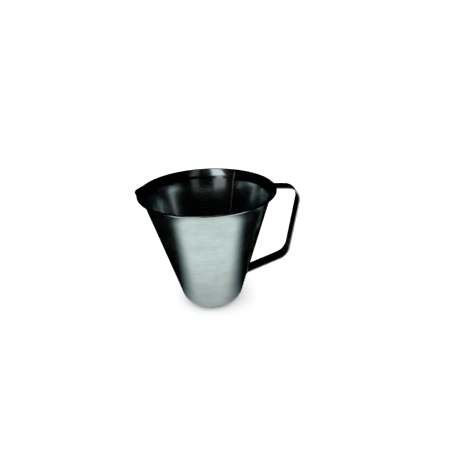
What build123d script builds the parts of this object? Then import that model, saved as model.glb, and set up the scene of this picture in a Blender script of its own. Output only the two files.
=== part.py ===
from build123d import *
import os
from math import acos, atan2, cos, hypot, pi, radians, sin, tan

# Conical pouring jug in stainless steel sheet, nominal 1 litre: a rolled and welded conical
# wall that flares into a collar with a wired rim and a pressed pour lip, a pan-shaped bottom
# welded to it, and a bent flat strap as the handle.
# Millimetres, +Z up. The origin is the centre of the flat underside, the handle stands along
# +X and the lip close to -X.

# ---- driving dimensions: the jug ----
JUG_HEIGHT = 139.0            # underside to the top of the rolled rim
RIM_DIAMETER = 150.0          # over the rolled rim, the lip left out
COLLAR_HEIGHT = 12.5          # flared part, from the cone's end at the neck to the top of the rim
COLLAR_REACH = 7.6            # how far the rim stands out past the neck
CONE_HALF_ANGLE = 14.8        # of the wall, degrees from the vertical
CORNER_RADIUS = 15.2          # outside, between the wall and the flat bottom
SHEET = 0.8                   # thickness of the wall and of the bottom
BASE_SEAM_HEIGHT = 17.0       # middle of the weld that joins the bottom to the wall
BASE_SEAM_WIDTH = 1.6
SIDE_SEAM_WIDTH = 1.4
SIDE_SEAM_ANGLE = 59.5        # round from the handle, degrees
SIDE_SEAM_SHARE = 0.8         # of the flare's arc that the side seam runs up
WELD_PROUD = 0.12             # how far a dressed seam stands proud inside the jug

# ---- driving dimensions: the rim and the lip ----
WIRE_DIAMETER = 1.4           # core of the rolled rim
WIRE_CLEARANCE = 0.02         # between the wire and the roll
ROLL_SHEET = 0.55             # the sheet thins where it rolls round the wire
ROLL_END = -130.0             # direction from the wire to the sheet's edge, degrees
LIP_ANGLE = 175.5             # middle of the lip, round from the handle, degrees
LIP_REACH = 3.4               # how far the lip stands out past the round rim
LIP_HALF_ANGLE = 15.0         # of the rim that the lip takes up on each side, degrees
LIP_POINT = 1.4               # 1 is a round wave, more is a sharper lip

# ---- driving dimensions: the handle ----
STRAP_WIDTH = 17.5
STRAP_THICKNESS = 1.6
STRAP_EDGE = 0.5              # rounding of the strap's long edges
STRAP_DROP = 1.9              # from the top of the rim to the middle of the strap at the rim
STRAP_FALL = 1.7              # of the upper leg, from the rim to the upper corner
UPPER_STANDOFF = 27.6         # from the rim out to the upper corner of the strap's middle line
LOWER_STANDOFF = 42.9         # from the wall out to the lower corner, at the corner's height
LOWER_CORNER_HEIGHT = 52.6
STRAP_FOOT_HEIGHT = 32.8      # where the lower leg's middle meets the wall
UPPER_BEND = 14.2             # bend radii of the strap's middle line
LOWER_BEND = 18.8
UPPER_WELD_LEG = 1.0          # of the welds round the ends of the strap
LOWER_WELD_LEG = 2.4
WELD_TOE = 0.2                # what a weld still covers of the strap where it thins out

# ---- sizes that follow ----
LEAN = radians(CONE_HALF_ANGLE)
SLOPE = tan(LEAN)
NECK_RADIUS = RIM_DIAMETER / 2 - COLLAR_REACH
NECK_HEIGHT = JUG_HEIGHT - COLLAR_HEIGHT
HOLLOW_RADIUS = WIRE_DIAMETER / 2 + WIRE_CLEARANCE   # inside of the roll
ROLL_RADIUS = HOLLOW_RADIUS + ROLL_SHEET
ROLL_REACH = RIM_DIAMETER / 2 - ROLL_RADIUS          # of the wire's middle, from the jug's axis
ROLL_HEIGHT = JUG_HEIGHT - ROLL_RADIUS
FOOT_RADIUS = NECK_RADIUS - NECK_HEIGHT * SLOPE      # the cone carried on down to the floor
FLAT_RADIUS = FOOT_RADIUS + CORNER_RADIUS * (SLOPE - 1 / cos(LEAN))
WALL_BOTTOM = BASE_SEAM_HEIGHT + BASE_SEAM_WIDTH / 2
PAN_TOP = BASE_SEAM_HEIGHT - BASE_SEAM_WIDTH / 2
UPPER_LEG_HEIGHT = JUG_HEIGHT - STRAP_DROP

LIP_SECTIONS = 24             # sections of the collar across the whole lip
OVERLAP = 3.0                 # cutting bodies run this far past what they cut


def wall_radius(height, inset=0.0):
    """Radius of the straight wall's outer side at a height, or of a surface inset from it."""
    return FOOT_RADIUS + height * SLOPE - inset / cos(LEAN)


def polar(centre, radius, angle):
    """Point (radius from the jug's axis, height) at a distance and direction from another."""
    return centre[0] + radius * cos(angle), centre[1] + radius * sin(angle)


def flare(shift):
    """Centre, outer radius and end direction of the collar's arc, with the rim shifted outwards.

    The arc leaves the cone without a kink, and its inner side runs into the roll's outer side.
    Its centre lies outside the jug, so the inner side has the larger radius.
    """
    gap = ROLL_RADIUS - SHEET
    run = NECK_RADIUS - ROLL_REACH - shift
    rise = NECK_HEIGHT - ROLL_HEIGHT
    radius = (gap ** 2 - run ** 2 - rise ** 2) / (2 * (run * cos(LEAN) - rise * sin(LEAN) + gap))
    centre = polar((NECK_RADIUS, NECK_HEIGHT), radius, -LEAN)
    end = atan2(ROLL_HEIGHT - centre[1], ROLL_REACH + shift - centre[0])
    return centre, radius, end


def arc(centre, radius, start, end):
    """Arc in the XZ plane from one direction to another."""
    middle = polar(centre, radius, (start + end) / 2)
    first = polar(centre, radius, start)
    last = polar(centre, radius, end)
    return ThreePointArc(*[(reach, 0, height) for reach, height in (first, middle, last)])


def line(start, end):
    """Straight edge in the XZ plane."""
    return Line((start[0], 0, start[1]), (end[0], 0, end[1]))


def wall_section(shift):
    """The sheet's section: cone, flare and the roll round the wire, as one closed outline."""
    centre, radius, end = flare(shift)
    wire = (ROLL_REACH + shift, ROLL_HEIGHT)
    distance = hypot(centre[0] - wire[0], centre[1] - wire[1])
    towards = atan2(centre[1] - wire[1], centre[0] - wire[0])
    share = (distance ** 2 + HOLLOW_RADIUS ** 2 - radius ** 2) / (2 * distance * HOLLOW_RADIUS)
    meet = towards + 2 * pi - acos(share)                # where the outer side runs into the hollow
    corner = polar(wire, HOLLOW_RADIUS, meet)
    turn = atan2(corner[1] - centre[1], corner[0] - centre[0])
    edge = radians(ROLL_END)
    start = pi - LEAN
    inner = radius + SHEET
    edges = [
        line((wall_radius(WALL_BOTTOM), WALL_BOTTOM), polar(centre, radius, start)),
        arc(centre, radius, start, turn),
        arc(wire, HOLLOW_RADIUS, meet, edge),
        line(polar(wire, HOLLOW_RADIUS, edge), polar(wire, ROLL_RADIUS, edge)),
        arc(wire, ROLL_RADIUS, edge, end),
        arc(centre, inner, end, start),
        line(polar(centre, inner, start), (wall_radius(WALL_BOTTOM, SHEET), WALL_BOTTOM)),
        line((wall_radius(WALL_BOTTOM, SHEET), WALL_BOTTOM), (wall_radius(WALL_BOTTOM), WALL_BOTTOM)),
    ]
    return edges


def lip_shift(share):
    """How far out the rim is across the lip, from -1 at one end to 1 at the other."""
    return LIP_REACH * (0.5 + 0.5 * cos(pi * share)) ** LIP_POINT


def round_and_lip(make_edges):
    """Turn a section round the jug, and loft it through its shifted copies across the lip."""
    half = LIP_HALF_ANGLE
    section = Rot(0, 0, LIP_ANGLE + half) * make_face(make_edges(0.0))
    body = revolve(section, Axis.Z, 360 - 2 * half)
    wires = []
    for step in range(LIP_SECTIONS + 1):
        share = 2 * step / LIP_SECTIONS - 1
        edges = Wire(make_edges(lip_shift(share)))
        wires.append(Rot(0, 0, LIP_ANGLE + half * share) * edges)
    return body, Solid.make_loft(wires)


def make_rim_wire():
    def edges(shift):
        middle = (ROLL_REACH + shift, 0, ROLL_HEIGHT)
        plane = Plane(middle, x_dir=(1, 0, 0), z_dir=(0, -1, 0))
        return (plane * Circle(WIRE_DIAMETER / 2)).edges()

    body, lip = round_and_lip(edges)
    return body + lip


def make_side_seam_weld():
    """Weld along the sheet's butt joint, from the bottom seam to where the collar meets the roll."""
    centre, radius, end = flare(0.0)
    inside = SHEET + WELD_PROUD
    start = pi - LEAN
    stop = start + (end - start) * SIDE_SEAM_SHARE
    edges = [
        line((wall_radius(WALL_BOTTOM), WALL_BOTTOM), (NECK_RADIUS, NECK_HEIGHT)),
        arc(centre, radius, start, stop),
        line(polar(centre, radius, stop), polar(centre, radius + inside, stop)),
        arc(centre, radius + inside, stop, start),
        line(polar(centre, radius + inside, start), (wall_radius(WALL_BOTTOM, inside), WALL_BOTTOM)),
        line((wall_radius(WALL_BOTTOM, inside), WALL_BOTTOM), (wall_radius(WALL_BOTTOM), WALL_BOTTOM)),
    ]
    shell = revolve(make_face(edges), Axis.Z)
    slab = Box(RIM_DIAMETER, SIDE_SEAM_WIDTH, JUG_HEIGHT, align=(Align.MIN, Align.CENTER, Align.MIN))
    return shell & Rot(0, 0, SIDE_SEAM_ANGLE) * slab


def ring(*corners):
    """Solid of revolution from the (radius, height) corners of its section."""
    return revolve(make_face(Polyline(*[(r, 0, z) for r, z in corners], close=True)), Axis.Z)


def make_conical_wall(side_seam_weld):
    """Cone, flared collar with its lip, and the rolled rim, all one sheet."""
    body, lip = round_and_lip(wall_section)
    return body + lip - side_seam_weld


def pan_edges(inset):
    """The bottom's flat, corner and skirt at an inset from the outer side, from the axis up."""
    centre = (FLAT_RADIUS, CORNER_RADIUS)
    bend = CORNER_RADIUS - inset
    corner = arc(centre, bend, -pi / 2, -LEAN)
    return [
        line((0, inset), (FLAT_RADIUS, inset)),
        corner,
        line(polar(centre, bend, -LEAN), (wall_radius(PAN_TOP, inset), PAN_TOP)),
    ]


def make_base_pan():
    """Pressed bottom: flat, with a wide corner and a short skirt up to the seam."""
    top = line((wall_radius(PAN_TOP), PAN_TOP), (wall_radius(PAN_TOP, SHEET), PAN_TOP))
    middle = line((0, 0), (0, SHEET))
    return revolve(make_face([*pan_edges(0), top, *pan_edges(SHEET), middle]), Axis.Z)


def make_base_seam_weld():
    """Weld that joins the bottom's skirt to the wall, ground flush outside."""
    inside = SHEET + WELD_PROUD
    return ring(
        (wall_radius(PAN_TOP), PAN_TOP),
        (wall_radius(WALL_BOTTOM), WALL_BOTTOM),
        (wall_radius(WALL_BOTTOM, inside), WALL_BOTTOM),
        (wall_radius(PAN_TOP, inside), PAN_TOP),
    )


def make_jug_outside():
    """The jug above the bottom seam as a filled solid, lip left out, to cut what fits to it."""
    centre, radius, end = flare(0.0)
    wire = (ROLL_REACH, ROLL_HEIGHT)
    side = arc(centre, radius, pi - LEAN, end)
    top = polar(centre, radius, end)
    edges = [
        line((0, WALL_BOTTOM), (wall_radius(WALL_BOTTOM), WALL_BOTTOM)),
        line((wall_radius(WALL_BOTTOM), WALL_BOTTOM), (NECK_RADIUS, NECK_HEIGHT)),
        side,
        line(top, (0, top[1])),
        line((0, top[1]), (0, WALL_BOTTOM)),
    ]
    roll = Plane((wire[0], 0, wire[1]), x_dir=(1, 0, 0), z_dir=(0, -1, 0)) * Circle(ROLL_RADIUS)
    return revolve(make_face(edges), Axis.Z) + revolve(roll, Axis.Z)


def lower_corner():
    """Lower corner of the strap's middle line."""
    return Vector(wall_radius(LOWER_CORNER_HEIGHT) + LOWER_STANDOFF, 0, LOWER_CORNER_HEIGHT)


def lower_leg():
    """Where the lower leg's middle meets the wall, and the unit vector down the leg."""
    foot = Vector(wall_radius(STRAP_FOOT_HEIGHT), 0, STRAP_FOOT_HEIGHT)
    return foot, (foot - lower_corner()).normalized()


def make_handle_strap(jug_outside):
    """Flat strap bent at two corners, its ends cut to the shape of the jug."""
    foot, down = lower_leg()
    path = FilletPolyline(
        (ROLL_REACH - OVERLAP, 0, UPPER_LEG_HEIGHT),
        (RIM_DIAMETER / 2 + UPPER_STANDOFF, 0, UPPER_LEG_HEIGHT - STRAP_FALL),
        lower_corner(),
        foot + down * OVERLAP,
        radius=[UPPER_BEND, LOWER_BEND],
    )
    start = Plane(path @ 0, x_dir=(0, 1, 0), z_dir=path % 0)
    section = start * RectangleRounded(STRAP_WIDTH, STRAP_THICKNESS, STRAP_EDGE)
    return sweep(section, path=path) - jug_outside


def weld_band(root, direction, leg, length):
    """Band round the strap's end that tapers from its leg at the root to its toe."""
    base = Plane(root, x_dir=(0, 1, 0), z_dir=direction)
    tip = Plane(root + direction * length, x_dir=(0, 1, 0), z_dir=direction)
    wide = RectangleRounded(STRAP_WIDTH + 2 * leg, STRAP_THICKNESS + 2 * leg, STRAP_EDGE + WELD_TOE)
    narrow = RectangleRounded(
        STRAP_WIDTH + 2 * WELD_TOE, STRAP_THICKNESS + 2 * WELD_TOE, STRAP_EDGE + WELD_TOE
    )
    return loft([base * wide, tip * narrow])


def make_upper_handle_weld(jug_outside, strap):
    """Weld between the strap's upper end, the collar and the roll."""
    root = Vector(ROLL_REACH, 0, UPPER_LEG_HEIGHT)
    band = weld_band(root, Vector(1, 0, 0), UPPER_WELD_LEG, ROLL_RADIUS + UPPER_WELD_LEG)
    return band - jug_outside - strap


def make_lower_handle_weld(jug_outside, strap):
    """Weld between the strap's lower end and the wall."""
    foot, down = lower_leg()
    band = weld_band(foot + down * LOWER_WELD_LEG / 2, -down, LOWER_WELD_LEG, 2 * LOWER_WELD_LEG)
    return band - jug_outside - strap


def main():
    side_seam_weld = make_side_seam_weld()
    jug_outside = make_jug_outside()
    strap = make_handle_strap(jug_outside)
    nodes = {
        "conical_wall": make_conical_wall(side_seam_weld),
        "rim_wire": make_rim_wire(),
        "side_seam_weld": side_seam_weld,
        "base_pan": make_base_pan(),
        "base_seam_weld": make_base_seam_weld(),
        "handle_strap": strap,
        "upper_handle_weld": make_upper_handle_weld(jug_outside, strap),
        "lower_handle_weld": make_lower_handle_weld(jug_outside, strap),
    }
    os.makedirs("parts", exist_ok=True)
    for name, solid in nodes.items():
        export_step(solid, f"parts/{name}.step")
        print(name, len(solid.solids()), round(solid.volume, 1))


if __name__ == "__main__":
    main()
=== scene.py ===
from math import acos, asin, atan2, cos, hypot, pi, radians, sin, tan

import bmesh
import bpy
from bpy.props import FloatProperty, FloatVectorProperty, IntProperty, PointerProperty
from mathutils import Matrix, Vector


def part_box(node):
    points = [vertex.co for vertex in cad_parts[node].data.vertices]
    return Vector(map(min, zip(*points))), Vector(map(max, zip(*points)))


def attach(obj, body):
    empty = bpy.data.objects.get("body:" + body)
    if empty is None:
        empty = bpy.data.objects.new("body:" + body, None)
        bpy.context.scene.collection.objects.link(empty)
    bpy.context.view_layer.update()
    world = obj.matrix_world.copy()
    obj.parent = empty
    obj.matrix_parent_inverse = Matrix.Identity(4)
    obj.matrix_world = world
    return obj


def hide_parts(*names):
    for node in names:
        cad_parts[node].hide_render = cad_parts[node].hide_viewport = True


bl_info = {
    "name": "Conical Measuring Jug",
    "version": (1, 0, 0),
    "blender": (4, 5, 0),
    "location": "View3D > Sidebar > Jug",
    "description": "Builds a stainless steel conical measuring jug with a strap handle",
    "category": "Add Mesh",
}

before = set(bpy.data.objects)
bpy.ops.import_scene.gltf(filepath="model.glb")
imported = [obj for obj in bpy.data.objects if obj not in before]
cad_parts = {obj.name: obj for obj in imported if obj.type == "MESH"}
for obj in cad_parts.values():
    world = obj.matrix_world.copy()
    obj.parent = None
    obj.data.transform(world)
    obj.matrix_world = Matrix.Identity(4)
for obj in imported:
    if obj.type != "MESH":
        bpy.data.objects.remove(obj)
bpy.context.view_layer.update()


def widest(node):
    """Greatest distance of a CAD node from the jug's axis."""
    return max(vertex.co.xy.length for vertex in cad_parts[node].data.vertices)


def linear(code):
    """Linear colour from an sRGB hex value."""
    channels = [int(code[start : start + 2], 16) / 255 for start in (1, 3, 5)]
    return [c / 12.92 if c <= 0.04045 else ((c + 0.055) / 1.055) ** 2.4 for c in channels]


WALL_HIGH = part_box("conical_wall")[1]
PAN_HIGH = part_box("base_pan")[1]
SEAM_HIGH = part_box("base_seam_weld")[1]
STRAP_LOW, STRAP_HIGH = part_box("handle_strap")
MM = 0.001
MERGE_DISTANCE = 1e-7         # vertices closer than this are the same one


def length(name, description, default):
    """A distance property with its default in metres."""
    return FloatProperty(
        name=name, description=description, default=default, unit="LENGTH", precision=5
    )


def turn(name, description, default):
    """An angle property with its default in degrees."""
    return FloatProperty(
        name=name, description=description, default=radians(default), unit="ROTATION"
    )


def colour(name, description, code):
    """A colour property with its default as an sRGB hex value."""
    return FloatVectorProperty(
        name=name, description=description, default=linear(code), subtype="COLOR", min=0, max=1
    )


class JugSizes(bpy.types.PropertyGroup):
    """Sizes of the jug's body; the parts in model.glb give the outer ones."""

    height: length("Height", "Underside to the top of the rolled rim", WALL_HIGH.z)
    rim_radius: length("Rim radius", "Over the rolled rim, without the lip", WALL_HIGH.y)
    lip_reach: length(
        "Lip reach", "How far the lip stands out past the rim", widest("conical_wall") - WALL_HIGH.y
    )
    wall_bottom: length("Wall bottom", "Height at which the conical sheet starts", SEAM_HIGH.z)
    wall_bottom_radius: length(
        "Wall bottom radius", "Outside radius there", widest("base_seam_weld")
    )
    pan_top: length("Pan top", "Height of the bottom's skirt", PAN_HIGH.z)
    cone_angle: turn("Cone half angle", "Lean of the wall from the vertical", 14.8)
    collar_height: length("Collar height", "From the neck to the top of the rim", 12.5 * MM)
    corner_radius: length("Corner radius", "Outside, between the wall and the bottom", 15.2 * MM)
    sheet: length("Sheet", "Thickness of the steel", 0.8 * MM)
    wire: length("Wire", "Diameter of the wire inside the rim", 1.4 * MM)
    roll_sheet: length("Rolled sheet", "Thickness of the sheet round the wire", 0.57 * MM)
    lip_angle: turn("Lip angle", "Middle of the lip, round from the handle", 175.5)
    lip_half_angle: turn("Lip half angle", "Of the rim that the lip takes up on each side", 15)
    seam_width: length("Side seam width", "Width of the weld along the wall", 1.4 * MM)
    seam_angle: turn("Side seam angle", "Round from the handle", 59.5)
    seam_proud: length("Seam proud", "How far a dressed weld stands inside the jug", 0.12 * MM)
    round_steps: IntProperty(name="Round steps", description="Facets round the jug", default=360)


class StrapSizes(bpy.types.PropertyGroup):
    """Sizes of the strap handle."""

    width: length("Width", "Of the strap", STRAP_HIGH.y - STRAP_LOW.y)
    thickness: length("Thickness", "Of the strap", 1.6 * MM)
    edge: length("Edge", "Rounding of the strap's long edges", 0.5 * MM)
    drop: length("Drop", "From the top of the rim to the strap's middle there", 1.9 * MM)
    fall: length("Fall", "Of the upper leg, from the rim to the upper corner", 1.7 * MM)
    upper_reach: length("Upper reach", "From the axis to the upper corner", 102.6 * MM)
    lower_reach: length("Lower reach", "From the axis to the lower corner", 90.77 * MM)
    lower_height: length("Lower height", "Height of the lower corner", 52.6 * MM)
    foot_height: length("Foot height", "Where the lower leg meets the wall", 32.8 * MM)
    upper_bend: length("Upper bend", "Radius at the middle of the strap", 14.2 * MM)
    lower_bend: length("Lower bend", "Radius at the middle of the strap", 18.8 * MM)
    upper_bead: length("Upper weld", "Thickness of the weld bead at the rim", 1.0 * MM)
    lower_bead: length("Lower weld", "Thickness of the weld bead at the wall", 2.0 * MM)


class JugFinish(bpy.types.PropertyGroup):
    """Colours and the coarseness of the finishes."""

    satin: colour("Satin steel", "Outside of the jug", "#BECECB")
    polished: colour("Polished steel", "Inside of the jug", "#B9C7C8")
    strap: colour("Strap steel", "Handle", "#A9AFB0")
    weld: colour("Weld", "Dressed weld metal", "#B4B9B8")
    mark: colour("Mark", "Etched graduation lines", "#9AA3A3")
    grain: length("Grain", "Spacing of the satin brush lines", 0.35 * MM)


class StageSettings(bpy.types.PropertyGroup):
    """Camera and lights."""

    lens: FloatProperty(name="Lens", description="Focal length in millimetres", default=27.88)
    distance: length("Distance", "From the camera to the point it aims at", 0.4391)
    azimuth: turn("Azimuth", "Camera's turn round the jug", -3.8)
    elevation: turn("Elevation", "Camera's height above the horizontal", 26.03)
    roll: turn("Roll", "Camera's turn about its own axis", -1.97)
    aim: FloatVectorProperty(
        name="Aim", description="Point the camera looks at", unit="LENGTH", precision=5,
        default=(21.51 * MM, 35.16 * MM, 74.76 * MM),
    )
    floor: colour("Floor", "Pale floor and backdrop", "#FAFAFA")


# ---- drawing with bmesh operators ----


class Pen:
    """Draws a chain of vertices in the XZ plane, from (radius, height) points."""

    def __init__(self, start):
        self.bm = bmesh.new()
        self.first = self.bm.verts.new((start[0], 0, start[1]))
        self.last = self.first

    def line(self, end, steps=1):
        step = (Vector((end[0], 0, end[1])) - self.last.co) / steps
        for _ in range(steps):
            made = bmesh.ops.extrude_vert_indiv(self.bm, verts=[self.last])["verts"]
            bmesh.ops.translate(self.bm, verts=made, vec=step)
            self.last = made[0]

    def arc(self, centre, angle, steps):
        made = bmesh.ops.spin(
            self.bm, geom=[self.last], cent=(centre[0], 0, centre[1]), axis=(0, -1, 0),
            dvec=(0, 0, 0), angle=angle, steps=steps,
        )["geom_last"]
        self.last = [part for part in made if isinstance(part, bmesh.types.BMVert)][0]

    def close(self):
        self.bm.edges.new((self.last, self.first))
        return self.bm


def spin_round(bm, steps):
    """Turns a section into a closed body of revolution."""
    geom = bm.verts[:] + bm.edges[:]
    bmesh.ops.spin(
        bm, geom=geom, cent=(0, 0, 0), axis=(0, 0, 1), dvec=(0, 0, 0), angle=2 * pi, steps=steps,
        use_merge=True,
    )
    bmesh.ops.remove_doubles(bm, verts=bm.verts, dist=MERGE_DISTANCE)
    bmesh.ops.recalc_face_normals(bm, faces=bm.faces)


def polar(centre, radius, angle):
    """Point at a distance and direction from another, in (radius, height)."""
    return centre[0] + radius * cos(angle), centre[1] + radius * sin(angle)


def add_piece(bm, name, node, materials, sharp=40):
    """Makes a finished piece of a bmesh, in place of a CAD node."""
    bmesh.ops.recalc_face_normals(bm, faces=bm.faces)
    if bm.calc_volume(signed=True) < 0:
        bmesh.ops.reverse_faces(bm, faces=bm.faces)
    for face in bm.faces:
        face.smooth = True
    for edge in bm.edges:
        if len(edge.link_faces) == 2:
            edge.smooth = edge.calc_face_angle(0) < radians(sharp)
    mesh = bpy.data.meshes.new(name)
    bm.to_mesh(mesh)
    bm.free()
    for material in materials:
        mesh.materials.append(material)
    piece = bpy.data.objects.new(name, mesh)
    bpy.context.scene.collection.objects.link(piece)
    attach(piece, "root")
    if node:
        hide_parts(node)
    return piece


# ---- the jug's shape ----


class Shape:
    """The jug's section, worked out from its sizes."""

    def __init__(self, sizes):
        self.sizes = sizes
        self.lean = sizes.cone_angle
        self.slope = tan(self.lean)
        self.neck_height = sizes.height - sizes.collar_height
        self.neck_radius = self.wall(self.neck_height)
        self.hollow = sizes.wire / 2
        self.roll = self.hollow + sizes.roll_sheet
        self.wire = (sizes.rim_radius - self.roll, sizes.height - self.roll)
        gap = self.roll - sizes.sheet
        run = self.neck_radius - self.wire[0]
        rise = self.neck_height - self.wire[1]
        below = 2 * (run * cos(self.lean) - rise * sin(self.lean) + gap)
        self.flare_radius = (gap**2 - run**2 - rise**2) / below
        neck = (self.neck_radius, self.neck_height)
        self.flare_centre = polar(neck, self.flare_radius, -self.lean)
        self.flare_start = pi - self.lean
        self.flare_end = atan2(
            self.wire[1] - self.flare_centre[1], self.wire[0] - self.flare_centre[0]
        )
        foot = self.wall(0)
        self.flat = foot + sizes.corner_radius * (self.slope - 1 / cos(self.lean))
        self.corner_centre = (self.flat, sizes.corner_radius)

    def wall(self, height, inset=0.0):
        """Outside radius of the straight wall at a height, or of a surface inset from it."""
        out = self.sizes.wall_bottom_radius + (height - self.sizes.wall_bottom) * self.slope
        return out - inset / cos(self.lean)

    def flare(self, height, inset=0.0):
        """Radius of the collar at a height."""
        radius = self.flare_radius + inset
        angle = pi - asin((height - self.flare_centre[1]) / radius)
        return self.flare_centre[0] + radius * cos(angle)

    def surface(self, height, inset=0.0):
        """Radius of the sheet at any height above the bottom seam."""
        if height > self.neck_height + inset * sin(self.lean):
            return self.flare(height, inset)
        return self.wall(height, inset)

    def inside(self, height):
        """Inside radius of the jug at any height, bottom included."""
        bend = self.sizes.corner_radius - self.sizes.sheet
        if height > self.sizes.corner_radius - bend * sin(self.lean):
            return self.wall(height, self.sizes.sheet)
        return self.flat + (bend**2 - (self.sizes.corner_radius - height) ** 2) ** 0.5


CONE_ROWS = 12
FLARE_ROWS = 20
INSIDE, OUTSIDE = 1, 0


def draw_wall(shape):
    """Section of the conical sheet: cone, flare and the roll round the wire."""
    sizes = shape.sizes
    centre, radius = shape.flare_centre, shape.flare_radius
    wire, hollow, roll = shape.wire, shape.hollow, shape.roll
    apart = hypot(centre[0] - wire[0], centre[1] - wire[1])
    towards = atan2(centre[1] - wire[1], centre[0] - wire[0])
    share = (apart**2 + hollow**2 - radius**2) / (2 * apart * hollow)
    meet = towards + 2 * pi - acos(share)
    corner = polar(wire, hollow, meet)
    outer_end = atan2(corner[1] - centre[1], corner[0] - centre[0])
    edge = radians(-130)
    bottom = sizes.wall_bottom
    pen = Pen((shape.wall(bottom), bottom))
    pen.line((shape.neck_radius, shape.neck_height), CONE_ROWS)
    pen.arc(centre, outer_end - shape.flare_start, FLARE_ROWS)
    pen.arc(wire, edge - meet, 18)
    pen.line(polar(wire, roll, edge))
    pen.arc(wire, shape.flare_end - edge, 28)
    pen.arc(centre, shape.flare_start - shape.flare_end, FLARE_ROWS)
    pen.line((shape.wall(bottom, sizes.sheet), bottom), CONE_ROWS)
    return pen.close()


def press_lip(bm, shape):
    """Presses the pour lip out of the collar."""
    sizes = shape.sizes
    middle = Vector((cos(sizes.lip_angle), sin(sizes.lip_angle)))
    for vertex in bm.verts:
        off = vertex.co.xy.angle(middle, pi) / sizes.lip_half_angle
        up = (vertex.co.z - shape.neck_height) / (shape.wire[1] - shape.neck_height)
        if off < 1 and up > 0:
            wave = (0.5 + 0.5 * cos(pi * off)) ** 1.4
            out = vertex.co.xy.normalized() * sizes.lip_reach * wave * min(up, 1) ** 3
            vertex.co.xy += out


def is_inside(face, shape):
    """True for faces of the inner side, up to the crown of the roll."""
    middle = face.calc_center_median()
    facing = face.normal.xy.dot(middle.xy) < 0
    return facing and middle.z < shape.wire[1] + shape.roll * 0.6


def draw_pan(shape):
    """Section of the pressed bottom, from the axis out and back."""
    sizes = shape.sizes
    sweep = pi / 2 - shape.lean
    centre = shape.corner_centre
    pen = Pen((0, 0))
    pen.line((shape.flat, 0), 6)
    pen.arc(centre, sweep, 24)
    pen.line((shape.wall(sizes.pan_top), sizes.pan_top), 2)
    pen.line((shape.wall(sizes.pan_top, sizes.sheet), sizes.pan_top))
    inner = polar(centre, sizes.corner_radius - sizes.sheet, -shape.lean)
    pen.line(inner, 2)
    pen.arc(centre, -sweep, 24)
    pen.line((0, sizes.sheet), 6)
    return pen.bm


SEAM_CROWN = 0.3              # half of the seam's height that its crown takes up


def draw_seam(shape):
    """Section of the bottom seam: flush outside, a low crown inside."""
    sizes = shape.sizes
    low, high = sizes.pan_top, sizes.wall_bottom
    inset = sizes.sheet
    middle = (low + high) / 2
    pen = Pen((shape.wall(low), low))
    pen.line((shape.wall(high), high))
    pen.line((shape.wall(high, inset), high))
    for side in (1, -1):
        crown = middle + side * SEAM_CROWN * (high - middle)
        pen.line((shape.wall(crown, inset + sizes.seam_proud), crown))
    pen.line((shape.wall(low, inset), low))
    return pen.close()


# ---- materials ----


def add_node(tree, kind, settings=None, **links):
    """One node with its settings, its inputs set to values or linked to other sockets."""
    node = tree.nodes.new(kind)
    for name, value in (settings or {}).items():
        setattr(node, name, value)
    for name, value in links.items():
        key = int(name[1:]) if name[1:].isdigit() else name.replace("_", " ")
        socket = node.inputs[key]
        if isinstance(value, bpy.types.NodeSocket):
            tree.links.new(value, socket)
        else:
            socket.default_value = value
    return node


def new_material(name):
    """Empty node material with its shader and output."""
    material = bpy.data.materials.new(name)
    material.use_nodes = True
    tree = material.node_tree
    tree.nodes.clear()
    shader = add_node(tree, "ShaderNodeBsdfPrincipled")
    add_node(tree, "ShaderNodeOutputMaterial", Surface=shader.outputs[0])
    return material, tree, shader


def stretched_noise(tree, along, across, detail):
    """Noise whose streaks run round the jug, with their length and their spacing in metres."""
    place = add_node(tree, "ShaderNodeTexCoord").outputs["Object"]
    scaled = add_node(
        tree, "ShaderNodeMapping", Vector=place, Scale=(1 / along, 1 / along, 1 / across)
    )
    return add_node(
        tree, "ShaderNodeTexNoise", Vector=scaled.outputs[0], Scale=1, Detail=detail, Roughness=0.6
    ).outputs[0]


def remap(tree, value, low, high, source=(0.3, 0.7)):
    """Stretches the middle of a pattern's range to new limits."""
    return add_node(
        tree, "ShaderNodeMapRange", _0=value, _1=source[0], _2=source[1], _3=low, _4=high
    ).outputs[0]


def satin_steel(finish):
    """Stainless sheet, satin brushed round the cone: soft reflections drawn out up and down."""
    material, tree, shader = new_material("satin_brushed_steel")
    shader.inputs["Metallic"].default_value = 1
    # brush lines; the real ones are finer than shows, so the coarser set carries what the eye sees
    fine = stretched_noise(tree, 50 * MM, finish.grain, 2)
    coarse = stretched_noise(tree, 22 * MM, 0.8 * MM, 4)
    cloud = stretched_noise(tree, 16 * MM, 13 * MM, 4)
    rough = add_node(
        tree, "ShaderNodeMath", {"operation": "ADD"},
        _0=remap(tree, coarse, 0.14, 0.20), _1=remap(tree, cloud, -0.02, 0.04),
    )
    tree.links.new(rough.outputs[0], shader.inputs["Roughness"])
    shade = add_node(
        tree, "ShaderNodeMath", {"operation": "MULTIPLY"},
        _0=remap(tree, coarse, 0.84, 1.0), _1=remap(tree, cloud, 0.86, 1.0),
    )
    tint = add_node(
        tree, "ShaderNodeMix", {"data_type": "RGBA", "blend_type": "MULTIPLY"},
        _0=1.0, _6=(*finish.satin, 1), _7=shade.outputs[0],
    )
    tree.links.new(tint.outputs[2], shader.inputs["Base Color"])
    low = add_node(tree, "ShaderNodeBump", Height=coarse, Strength=0.3, Distance=0.008 * MM)
    high = add_node(
        tree, "ShaderNodeBump",
        Height=fine, Strength=0.3, Distance=0.004 * MM, Normal=low.outputs[0],
    )
    tree.links.new(high.outputs[0], shader.inputs["Normal"])
    return material


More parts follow.
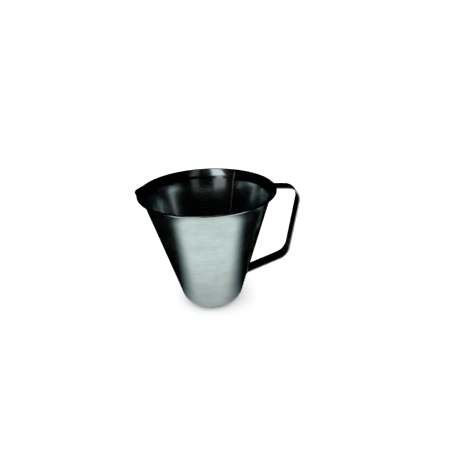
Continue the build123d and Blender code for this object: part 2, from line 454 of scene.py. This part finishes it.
def polished_steel(finish):
    """The same sheet polished on a wheel: clear dark reflections with fine rings round the jug."""
    material, tree, shader = new_material("polished_steel")
    shader.inputs["Metallic"].default_value = 1
    shader.inputs["Base Color"].default_value = (*finish.polished, 1)
    rings = stretched_noise(tree, 40 * MM, 0.9 * MM, 3)
    tree.links.new(remap(tree, rings, 0.10, 0.20), shader.inputs["Roughness"])
    bump = add_node(tree, "ShaderNodeBump", Height=rings, Strength=0.25, Distance=0.015 * MM)
    tree.links.new(bump.outputs[0], shader.inputs["Normal"])
    return material


def strap_steel(finish):
    """Drawn flat bar, bright polished, with faint draw lines."""
    material, tree, shader = new_material("polished_flat_bar")
    shader.inputs["Metallic"].default_value = 1
    shader.inputs["Base Color"].default_value = (*finish.strap, 1)
    lines = stretched_noise(tree, 3 * MM, 40 * MM, 3)
    tree.links.new(remap(tree, lines, 0.16, 0.28), shader.inputs["Roughness"])
    bump = add_node(tree, "ShaderNodeBump", Height=lines, Strength=0.15, Distance=0.02 * MM)
    tree.links.new(bump.outputs[0], shader.inputs["Normal"])
    return material


def weld_metal(finish):
    """Dressed weld: the same steel, ground by hand, a little duller than the sheet."""
    material, tree, shader = new_material("dressed_weld")
    shader.inputs["Metallic"].default_value = 1
    shader.inputs["Base Color"].default_value = (*finish.weld, 1)
    grit = stretched_noise(tree, 0.7 * MM, 0.5 * MM, 3)
    tree.links.new(remap(tree, grit, 0.24, 0.42), shader.inputs["Roughness"])
    bump = add_node(tree, "ShaderNodeBump", Height=grit, Strength=0.3, Distance=0.03 * MM)
    tree.links.new(bump.outputs[0], shader.inputs["Normal"])
    return material


def drawn_wire(finish):
    """Bright drawn wire with its die lines."""
    material, tree, shader = new_material("drawn_wire")
    shader.inputs["Metallic"].default_value = 1
    shader.inputs["Base Color"].default_value = (*finish.weld, 1)
    lines = stretched_noise(tree, 20 * MM, 0.2 * MM, 2)
    tree.links.new(remap(tree, lines, 0.25, 0.4), shader.inputs["Roughness"])
    return material


def etched_mark(finish):
    """Etched line: matt and pale against the polished wall."""
    material, tree, shader = new_material("etched_mark")
    shader.inputs["Metallic"].default_value = 1
    shader.inputs["Base Color"].default_value = (*finish.mark, 1)
    frost = stretched_noise(tree, 0.3 * MM, 0.3 * MM, 2)
    tree.links.new(remap(tree, frost, 0.28, 0.4), shader.inputs["Roughness"])
    return material


def finish_named(name, make):
    """A material by its name, made the first time it is asked for."""
    return bpy.data.materials.get(name) or make(bpy.context.scene.jug_finish)


# ---- operators ----


class JUG_OT_conical_wall(bpy.types.Operator):
    """Build the conical sheet with its collar, pour lip and rolled rim"""

    bl_idname = "jug.conical_wall"
    bl_label = "Conical wall"

    def execute(self, context):
        shape = Shape(context.scene.jug_sizes)
        bm = draw_wall(shape)
        spin_round(bm, shape.sizes.round_steps)
        for face in bm.faces:
            face.material_index = INSIDE if is_inside(face, shape) else OUTSIDE
        press_lip(bm, shape)
        materials = [
            finish_named("satin_brushed_steel", satin_steel),
            finish_named("polished_steel", polished_steel),
        ]
        add_piece(bm, "conical_wall_sheet", "conical_wall", materials)
        return {"FINISHED"}


class JUG_OT_bottom(bpy.types.Operator):
    """Build the pressed bottom and the seam that joins it to the wall"""

    bl_idname = "jug.bottom"
    bl_label = "Bottom and its seam"

    def execute(self, context):
        shape = Shape(context.scene.jug_sizes)
        satin = finish_named("satin_brushed_steel", satin_steel)
        polished = finish_named("polished_steel", polished_steel)
        bm = draw_pan(shape)
        spin_round(bm, shape.sizes.round_steps)
        for face in bm.faces:
            middle = face.calc_center_median()
            within = Vector((0, 0, shape.sizes.corner_radius * 2))
            up = face.normal.dot(within - middle)
            face.material_index = INSIDE if up > 0 else OUTSIDE
        add_piece(bm, "base_pan_pressing", "base_pan", [satin, polished])
        bm = draw_seam(shape)
        spin_round(bm, shape.sizes.round_steps)
        for face in bm.faces:
            facing = face.normal.xy.dot(face.calc_center_median().xy) < 0
            face.material_index = INSIDE if facing else OUTSIDE
        weld = finish_named("dressed_weld", weld_metal)
        add_piece(bm, "base_seam_ring", "base_seam_weld", [satin, weld])
        return {"FINISHED"}


SEAM_FLARE_SHARE = 0.8        # share of the flare that the side seam climbs
SEAM_FLARE_STEPS = 6
SEAM_COVER = 0.02 * MM        # how far the weld laps over the wall's outside


class JUG_OT_side_seam(bpy.types.Operator):
    """Build the weld along the sheet's butt joint"""

    bl_idname = "jug.side_seam"
    bl_label = "Side seam"

    def execute(self, context):
        shape = Shape(context.scene.jug_sizes)
        sizes = shape.sizes
        flare_sweep = SEAM_FLARE_SHARE * (shape.flare_end - shape.flare_start)
        flare_top = shape.flare_centre[1] + shape.flare_radius * sin(
            shape.flare_start + flare_sweep
        )
        rise = flare_top - shape.neck_height
        bm = bmesh.new()
        heights = [sizes.wall_bottom]
        heights += [
            shape.neck_height + rise * step / SEAM_FLARE_STEPS
            for step in range(SEAM_FLARE_STEPS + 1)
        ]
        half = sizes.seam_width / 2
        crown = sizes.sheet + sizes.seam_proud
        section = [
            (-1, -SEAM_COVER), (1, -SEAM_COVER), (1, sizes.sheet), (0.5, crown),
            (-0.5, crown), (-1, sizes.sheet),
        ]
        rings = []
        for height in heights:
            ring = [
                bm.verts.new((shape.surface(height, inset), side * half, height))
                for side, inset in section
            ]
            edges = [bm.edges.new((ring[i], ring[i - 1])) for i in range(len(ring))]
            rings.append(edges)
        for lower, upper in zip(rings, rings[1:]):
            bmesh.ops.bridge_loops(bm, edges=lower + upper)
        bmesh.ops.holes_fill(bm, edges=bm.edges, sides=len(section))
        bmesh.ops.recalc_face_normals(bm, faces=bm.faces)
        place_round = Matrix.Rotation(sizes.seam_angle, 3, "Z")
        bmesh.ops.rotate(bm, verts=bm.verts, cent=(0, 0, 0), matrix=place_round)
        for face in bm.faces:
            facing = face.normal.xy.dot(face.calc_center_median().xy) < 0
            face.material_index = INSIDE if facing else OUTSIDE
        satin = finish_named("satin_brushed_steel", satin_steel)
        weld = finish_named("dressed_weld", weld_metal)
        add_piece(bm, "side_seam_strip", "side_seam_weld", [satin, weld])
        return {"FINISHED"}


MARK_STEP = 50e-6             # cubic metres between two graduation lines
MARK_FIRST = 2                # the first line stands at this many steps
MARK_ANGLE = 94.5             # middle of the lines, degrees round from the handle
LONG_MARK, SHORT_MARK = 13 * MM, 8 * MM
MARKS_PER_LONG = 5


def mark_heights(shape):
    """Heights at which the jug holds each multiple of the graduation step, up to the neck."""
    slice_height = 0.05 * MM
    height, volume, heights = shape.sizes.sheet, 0.0, []
    while height < shape.neck_height:
        volume += pi * shape.inside(height + slice_height / 2) ** 2 * slice_height
        height += slice_height
        if volume >= MARK_STEP * (len(heights) + 1):
            heights.append(height)
    return heights


class JUG_OT_graduations(bpy.types.Operator):
    """Lay the etched graduation lines on the inside of the wall"""

    bl_idname = "jug.graduations"
    bl_label = "Graduation lines"

    def execute(self, context):
        shape = Shape(context.scene.jug_sizes)
        sheet = shape.sizes.sheet
        bm = bmesh.new()
        half, proud, buried = 0.22 * MM, 0.03 * MM, 0.1 * MM
        for count, height in enumerate(mark_heights(shape), 1):
            if count < MARK_FIRST:
                continue
            long = LONG_MARK if count % MARKS_PER_LONG == 0 else SHORT_MARK
            corners = [(half, proud), (half, -buried), (-half, -buried), (-half, proud)]
            ring = [
                bm.verts.new((shape.surface(height + up, sheet + inset), 0, height + up))
                for up, inset in corners
            ]
            face = bm.faces.new(ring)
            sweep = long / shape.wall(height)
            start = Matrix.Rotation(radians(MARK_ANGLE) - sweep / 2, 3, "Z")
            bmesh.ops.rotate(bm, verts=ring, cent=(0, 0, 0), matrix=start)
            bmesh.ops.spin(
                bm, geom=[face], cent=(0, 0, 0), axis=(0, 0, 1), dvec=(0, 0, 0), angle=sweep,
                steps=10,
            )
        etched = finish_named("etched_mark", etched_mark)
        add_piece(bm, "graduation_lines", None, [etched])
        return {"FINISHED"}


def strap_points(shape, strap):
    """Middle line of the strap as (radius, height) corners, from the rim to the wall."""
    upper = shape.sizes.height - strap.drop
    return [
        Vector((shape.wire[0], upper)),
        Vector((strap.upper_reach, upper - strap.fall)),
        Vector((strap.lower_reach, strap.lower_height)),
        Vector((shape.wall(strap.foot_height), strap.foot_height)),
    ]


def bend_at(before, corner, after, radius):
    """Tangent length, centre and turning angle of the arc that rounds a corner."""
    into, out = (corner - before).normalized(), (after - corner).normalized()
    angle = into.angle_signed(out)
    tangent = radius * tan(abs(angle) / 2)
    side = Vector((into.y, -into.x)) if angle > 0 else Vector((-into.y, into.x))
    return tangent, corner - into * tangent + side * radius, angle


LEG_CUTS = 6                  # lengths that each straight leg is pushed out in
FIT_ROUNDS = 8                # repeats that bring a vertex onto the curved wall
STRAP_BURIED = 0.1 * MM       # how far the strap's end reaches into the wall


class JUG_OT_handle(bpy.types.Operator):
    """Bend the flat strap of the handle"""

    bl_idname = "jug.handle"
    bl_label = "Strap handle"

    def execute(self, context):
        shape = Shape(context.scene.jug_sizes)
        strap = context.scene.jug_strap
        points = strap_points(shape, strap)
        bm = bmesh.new()
        bmesh.ops.create_grid(bm, x_segments=1, y_segments=1, size=0.5)
        bmesh.ops.scale(bm, verts=bm.verts, vec=(strap.thickness, strap.width, 1))
        bmesh.ops.bevel(
            bm, geom=bm.verts[:], offset=strap.edge, segments=4, profile=0.5, affect="VERTICES",
            material=-1,
        )
        bmesh.ops.subdivide_edges(
            bm, edges=[e for e in bm.edges if e.calc_length() > strap.thickness], cuts=8
        )
        heading = (points[1] - points[0]).normalized()
        tilt = Matrix(((-heading.y, 0, heading.x), (0, 1, 0), (heading.x, 0, heading.y)))
        bmesh.ops.rotate(bm, verts=bm.verts, cent=(0, 0, 0), matrix=tilt)
        bmesh.ops.translate(bm, verts=bm.verts, vec=(points[0].x, 0, points[0].y))
        bmesh.ops.delete(bm, geom=bm.faces[:], context="FACES_KEEP_BOUNDARY")
        front = bm.edges[:]
        here = points[0]
        bends = (strap.upper_bend, strap.lower_bend)
        for before, corner, after, radius in zip(points, points[1:], points[2:], bends):
            tangent, centre, angle = bend_at(before, corner, after, radius)
            goal = corner - (corner - before).normalized() * tangent
            front = self.push(bm, front, goal - here)
            made = bmesh.ops.spin(
                bm, geom=front + list({vertex for edge in front for vertex in edge.verts}),
                cent=(centre.x, 0, centre.y), axis=(0, 1, 0), dvec=(0, 0, 0), angle=angle, steps=20,
            )["geom_last"]
            front = [part for part in made if isinstance(part, bmesh.types.BMEdge)]
            here = corner + (after - corner).normalized() * tangent
        front = self.push(bm, front, points[-1] - here)
        self.fit_to_wall(front, shape, (points[-1] - points[-2]).normalized())
        bmesh.ops.holes_fill(bm, edges=[edge for edge in bm.edges if edge.is_boundary], sides=0)
        bar = finish_named("polished_flat_bar", strap_steel)
        add_piece(bm, "handle_strap_bar", "handle_strap", [bar])
        return {"FINISHED"}

    def push(self, bm, front, step):
        """Extrudes the leading outline along a leg."""
        for _ in range(LEG_CUTS):
            made = bmesh.ops.extrude_edge_only(bm, edges=front)["geom"]
            front = [part for part in made if isinstance(part, bmesh.types.BMEdge)]
            verts = [part for part in made if isinstance(part, bmesh.types.BMVert)]
            bmesh.ops.translate(bm, verts=verts, vec=Vector((step.x, 0, step.y)) / LEG_CUTS)
        return front

    def fit_to_wall(self, front, shape, heading):
        """Slides the end's vertices along the leg until they lie on the wall."""
        for vertex in {vertex for edge in front for vertex in edge.verts}:
            for _ in range(FIT_ROUNDS):
                short = vertex.co.xy.length - shape.wall(vertex.co.z) + STRAP_BURIED
                vertex.co += Vector((heading.x, 0, heading.y)) * short / -heading.x


BEAD_LAP = 0.15               # of the bead's thickness, from the strap's edge to its middle
BEAD_RIPPLE = 0.07            # height of the ripples, of the bead's thickness
BEAD_RIPPLES = 34             # ripples round the bead
BEAD_SQUARENESS = 0.5         # 1 lays the bead on an ellipse, less makes it squarer


def signed_power(value, power):
    """A value's size to a power, with its own sign."""
    return abs(value) ** power * (1 if value > 0 else -1)


def weld_bead(strap, root, heading, thickness, shape):
    """Bead round the strap's end: a ring, drawn out to the strap's section and laid on the wall."""
    bm = bmesh.new()
    made = bmesh.ops.create_circle(bm, cap_ends=False, segments=14, radius=thickness / 2)["verts"]
    ring_radius = 10 * thickness
    upright = Matrix.Rotation(pi / 2, 3, "X")
    bmesh.ops.rotate(bm, verts=made, cent=(0, 0, 0), matrix=upright)
    bmesh.ops.translate(bm, verts=made, vec=(ring_radius, 0, 0))
    bmesh.ops.spin(
        bm, geom=bm.verts[:] + bm.edges[:], cent=(0, 0, 0), axis=(0, 0, 1), dvec=(0, 0, 0),
        angle=2 * pi, steps=160, use_merge=True,
    )
    bmesh.ops.remove_doubles(bm, verts=bm.verts, dist=MERGE_DISTANCE)
    half_width = strap.width / 2 + thickness * BEAD_LAP
    half_height = strap.thickness / 2 + thickness * BEAD_LAP
    across = Vector((-heading.y, heading.x))
    along_leg = Vector((heading.x, 0, heading.y))
    for vertex in bm.verts:
        turned = atan2(vertex.co.y, vertex.co.x)
        out = vertex.co.xy.length - ring_radius
        along = vertex.co.z
        ripple = 1 + BEAD_RIPPLE * sin(turned * BEAD_RIPPLES)
        side = signed_power(cos(turned), BEAD_SQUARENESS)
        up = signed_power(sin(turned), BEAD_SQUARENESS)
        y = side * half_width + cos(turned) * out * ripple
        lift = up * half_height + sin(turned) * out * ripple
        middle = root + across * lift
        place = Vector((middle.x, y, middle.y))
        for _ in range(FIT_ROUNDS):
            short = place.xy.length - shape.surface(place.z)
            place += along_leg * short / -heading.x
        vertex.co = place - along_leg * along * ripple
    return bm


class JUG_OT_handle_welds(bpy.types.Operator):
    """Lay the weld beads round both ends of the strap"""

    bl_idname = "jug.handle_welds"
    bl_label = "Handle welds"

    def execute(self, context):
        shape = Shape(context.scene.jug_sizes)
        strap = context.scene.jug_strap
        points = strap_points(shape, strap)
        weld = finish_named("dressed_weld", weld_metal)
        heading = (points[-1] - points[-2]).normalized()
        bm = weld_bead(strap, points[-1], heading, strap.lower_bead, shape)
        add_piece(bm, "lower_handle_bead", "lower_handle_weld", [weld], 60)
        heading = Vector((-1, 0))
        root = Vector((shape.sizes.rim_radius, points[0].y - 0.3 * MM))
        bm = weld_bead(strap, root, heading, strap.upper_bead, shape)
        add_piece(bm, "upper_handle_bead", "upper_handle_weld", [weld], 60)
        return {"FINISHED"}


class JUG_OT_rim_wire(bpy.types.Operator):
    """Give the wire inside the rim its finish"""

    bl_idname = "jug.rim_wire"
    bl_label = "Rim wire"

    def execute(self, context):
        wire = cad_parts["rim_wire"]
        wire.data.materials.clear()
        wire.data.materials.append(finish_named("drawn_wire", drawn_wire))
        return {"FINISHED"}


# ---- stage ----


def plain_material(name, colour_value, strength=0.0):
    """Matt stage material, or a plain light source where it has strength."""
    material, tree, shader = new_material(name)
    shader.inputs["Base Color"].default_value = (*colour_value, 1)
    shader.inputs["Roughness"].default_value = 1
    shader.inputs["Specular IOR Level"].default_value = 0
    if strength:
        shader.inputs["Base Color"].default_value = (0, 0, 0, 1)
        shader.inputs["Emission Color"].default_value = (*colour_value, 1)
        shader.inputs["Emission Strength"].default_value = strength
    return material


def stage_mesh(name, bm, material):
    """A stage object, which isn't part of the jug."""
    mesh = bpy.data.meshes.new(name)
    bm.to_mesh(mesh)
    bm.free()
    mesh.materials.append(material)
    thing = bpy.data.objects.new(name, mesh)
    bpy.context.scene.collection.objects.link(thing)
    return thing


def only_in_reflections(thing):
    """Hides a card from the camera, so that it shows in the steel's reflections alone."""
    thing.visible_camera = False
    thing.visible_diffuse = False
    thing.visible_shadow = False
    thing.visible_transmission = False


EDGE_TINT = "#9CC4CE"         # what the soft edge of a floor card leans to
FOOT_RADIUS = 0.03            # a floor card starts here, under the jug's foot
FOOT_FADE_END = 0.1           # and has its full light from here on
FOOT_LIGHT = 0.55             # share of its light at the foot


def floor_card(name, middle, reach, shift, across, along, offset, soft, strength):
    """Half disc of pale card on the floor, at an azimuth round from +X, with soft edges.

    A point is lit where across * |x + shift| + along * |y| + offset passes zero, over the soft
    width; the card fades towards the jug's foot.
    """
    bm = bmesh.new()
    edge = bm.edges.new((bm.verts.new((FOOT_RADIUS, 0, 0)), bm.verts.new((reach, 0, 0))))
    start = Matrix.Rotation(radians(middle) - pi / 2, 3, "Z")
    bmesh.ops.rotate(bm, verts=edge.verts, cent=(0, 0, 0), matrix=start)
    bmesh.ops.spin(
        bm, geom=list(edge.verts) + [edge], cent=(0, 0, 0), axis=(0, 0, 1), dvec=(0, 0, 0),
        angle=pi, steps=24,
    )
    bmesh.ops.translate(bm, verts=bm.verts, vec=(0, 0, -0.5 * MM))
    material = plain_material(name, (1, 1, 1), strength)
    tree = material.node_tree
    place = add_node(tree, "ShaderNodeTexCoord").outputs["Object"]
    moved = add_node(tree, "ShaderNodeVectorMath", {"operation": "ADD"}, _0=place, _1=(shift, 0, 0))
    apart = add_node(tree, "ShaderNodeVectorMath", {"operation": "ABSOLUTE"}, _0=moved.outputs[0])
    weighed = add_node(
        tree, "ShaderNodeVectorMath", {"operation": "DOT_PRODUCT"},
        _0=apart.outputs[0], _1=(across, along, 0),
    )
    edge_fade = add_node(
        tree, "ShaderNodeMapRange", {"interpolation_type": "SMOOTHSTEP"},
        _0=weighed.outputs["Value"], _1=-offset - soft, _2=-offset + soft, _3=0.0, _4=strength,
    )
    out = add_node(tree, "ShaderNodeVectorMath", {"operation": "LENGTH"}, _0=place)
    foot_fade = add_node(
        tree, "ShaderNodeMapRange",
        _0=out.outputs["Value"], _1=FOOT_RADIUS, _2=FOOT_FADE_END, _3=FOOT_LIGHT, _4=1.0,
    )
    lit = add_node(
        tree, "ShaderNodeMath", {"operation": "MULTIPLY"},
        _0=edge_fade.outputs[0], _1=foot_fade.outputs[0],
    )
    hue = add_node(
        tree, "ShaderNodeMix", {"data_type": "RGBA"},
        _0=edge_fade.outputs[0], _6=(*linear(EDGE_TINT), 1), _7=(1.0, 1.0, 1.0, 1.0),
    )
    shader = next(node for node in tree.nodes if node.bl_idname == "ShaderNodeBsdfPrincipled")
    tree.links.new(lit.outputs[0], shader.inputs["Emission Strength"])
    tree.links.new(hue.outputs[2], shader.inputs["Emission Color"])
    only_in_reflections(stage_mesh(name, bm, material))


CARD_DISTANCE = 0.9           # from the jug's axis to a hanging card


def overhead_card(name, half_side, height, strength):
    """Lit card straight above the jug."""
    bm = bmesh.new()
    bmesh.ops.create_grid(bm, x_segments=1, y_segments=1, size=half_side)
    bmesh.ops.translate(bm, verts=bm.verts, vec=(0, 0, height))
    only_in_reflections(stage_mesh(name, bm, plain_material(name, (1, 1, 1), strength)))


def hanging_card(name, azimuth, half_width, low, high, strength):
    """Upright lit card that faces the jug; its place and size are in degrees as the jug sees it."""
    bottom, top = (CARD_DISTANCE * tan(radians(edge)) for edge in (low, high))
    bm = bmesh.new()
    bmesh.ops.create_grid(bm, x_segments=1, y_segments=1, size=0.5)
    width = 2 * CARD_DISTANCE * tan(radians(half_width))
    bmesh.ops.scale(bm, verts=bm.verts, vec=(width, top - bottom, 1))
    bmesh.ops.rotate(bm, verts=bm.verts, cent=(0, 0, 0), matrix=Matrix.Rotation(pi / 2, 3, "X"))
    rim = bpy.context.scene.jug_sizes.height
    bmesh.ops.translate(bm, verts=bm.verts, vec=(0, CARD_DISTANCE, (bottom + top) / 2 + rim))
    bmesh.ops.rotate(
        bm, verts=bm.verts, cent=(0, 0, 0), matrix=Matrix.Rotation(radians(azimuth - 90), 3, "Z")
    )
    card = stage_mesh(name, bm, plain_material(name, (1, 1, 1), strength))
    only_in_reflections(card)


class JUG_OT_stage(bpy.types.Operator):
    """Set up the pale floor, the soft lights and the camera"""

    bl_idname = "jug.stage"
    bl_label = "Stage"

    def execute(self, context):
        settings = context.scene.jug_stage
        self.floor(settings)
        self.world()
        self.lights()
        self.camera(context, settings)
        context.scene.view_settings.view_transform = "Standard"
        return {"FINISHED"}

    def floor(self, settings):
        bm = bmesh.new()
        bmesh.ops.create_grid(bm, x_segments=1, y_segments=1, size=6)
        bmesh.ops.translate(bm, verts=bm.verts, vec=(0, 0, -1 * MM))
        floor = stage_mesh("floor", bm, plain_material("pale_floor", settings.floor))
        floor.visible_glossy = False

    def world(self):
        world = bpy.data.worlds.new("studio")
        bpy.context.scene.world = world
        world.use_nodes = True
        tree = world.node_tree
        tree.nodes.clear()
        back = add_node(tree, "ShaderNodeBackground", Color=(1, 1, 1, 1), Strength=1.7)
        add_node(tree, "ShaderNodeOutputWorld", Surface=back.outputs[0])
        world.cycles_visibility.glossy = False

    def lights(self):
        floor_card(
            "front_floor_card", middle=-90, reach=1.2, shift=0.008, across=-0.562, along=0.827,
            offset=0.003, soft=0.036, strength=1.15,
        )
        floor_card(
            "rear_floor_card", middle=90, reach=0.13, shift=0, across=-1, along=0,
            offset=0.025, soft=0.012, strength=0.8,
        )
        hanging_card("tall_softbox", -117, 13, 31, 66, 1.15)
        hanging_card("middle_card", -118, 7, 15, 31, 0.5)
        hanging_card("low_card", -118, 12, 8, 14, 0.4)
        hanging_card("dim_card", -65, 8, 33, 66, 0.1)
        hanging_card("dim_low_card", -67, 7, 8, 16, 0.09)
        overhead_card("overhead_card", half_side=0.18, height=1.2, strength=0.35)

    def camera(self, context, settings):
        azimuth, elevation = settings.azimuth, settings.elevation
        back = Vector((
            sin(azimuth) * cos(elevation), -cos(azimuth) * cos(elevation), sin(elevation)
        ))
        data = bpy.data.cameras.new("camera")
        data.sensor_width = 36
        data.lens = settings.lens
        camera = bpy.data.objects.new("camera", data)
        context.scene.collection.objects.link(camera)
        camera.location = Vector(settings.aim) + back * settings.distance
        facing = (-back).to_track_quat("-Z", "Y").to_matrix()
        roll = Matrix.Rotation(settings.roll, 3, "Z")
        camera.rotation_euler = (facing @ roll).to_euler()
        context.scene.camera = camera


class JUG_PT_panel(bpy.types.Panel):
    """Lists the jug's pieces and the stage"""

    bl_label = "Conical jug"
    bl_idname = "JUG_PT_panel"
    bl_space_type = "VIEW_3D"
    bl_region_type = "UI"
    bl_category = "Jug"

    def draw(self, context):
        for operator in OPERATORS:
            self.layout.operator(operator.bl_idname)


GROUPS = (JugSizes, StrapSizes, JugFinish, StageSettings)
OPERATORS = (
    JUG_OT_conical_wall,
    JUG_OT_bottom,
    JUG_OT_side_seam,
    JUG_OT_graduations,
    JUG_OT_handle,
    JUG_OT_handle_welds,
    JUG_OT_rim_wire,
    JUG_OT_stage,
)
POINTERS = {
    "jug_sizes": JugSizes,
    "jug_strap": StrapSizes,
    "jug_finish": JugFinish,
    "jug_stage": StageSettings,
}


def register():
    for item in (*GROUPS, *OPERATORS, JUG_PT_panel):
        bpy.utils.register_class(item)
    for name, group in POINTERS.items():
        setattr(bpy.types.Scene, name, PointerProperty(type=group))


def unregister():
    for name in POINTERS:
        delattr(bpy.types.Scene, name)
    for item in reversed((*GROUPS, *OPERATORS, JUG_PT_panel)):
        bpy.utils.unregister_class(item)


def main():
    register()
    bpy.ops.jug.conical_wall()
    bpy.ops.jug.bottom()
    bpy.ops.jug.side_seam()
    bpy.ops.jug.graduations()
    bpy.ops.jug.handle()
    bpy.ops.jug.handle_welds()
    bpy.ops.jug.rim_wire()
    bpy.ops.jug.stage()


if __name__ == "__main__":
    main()
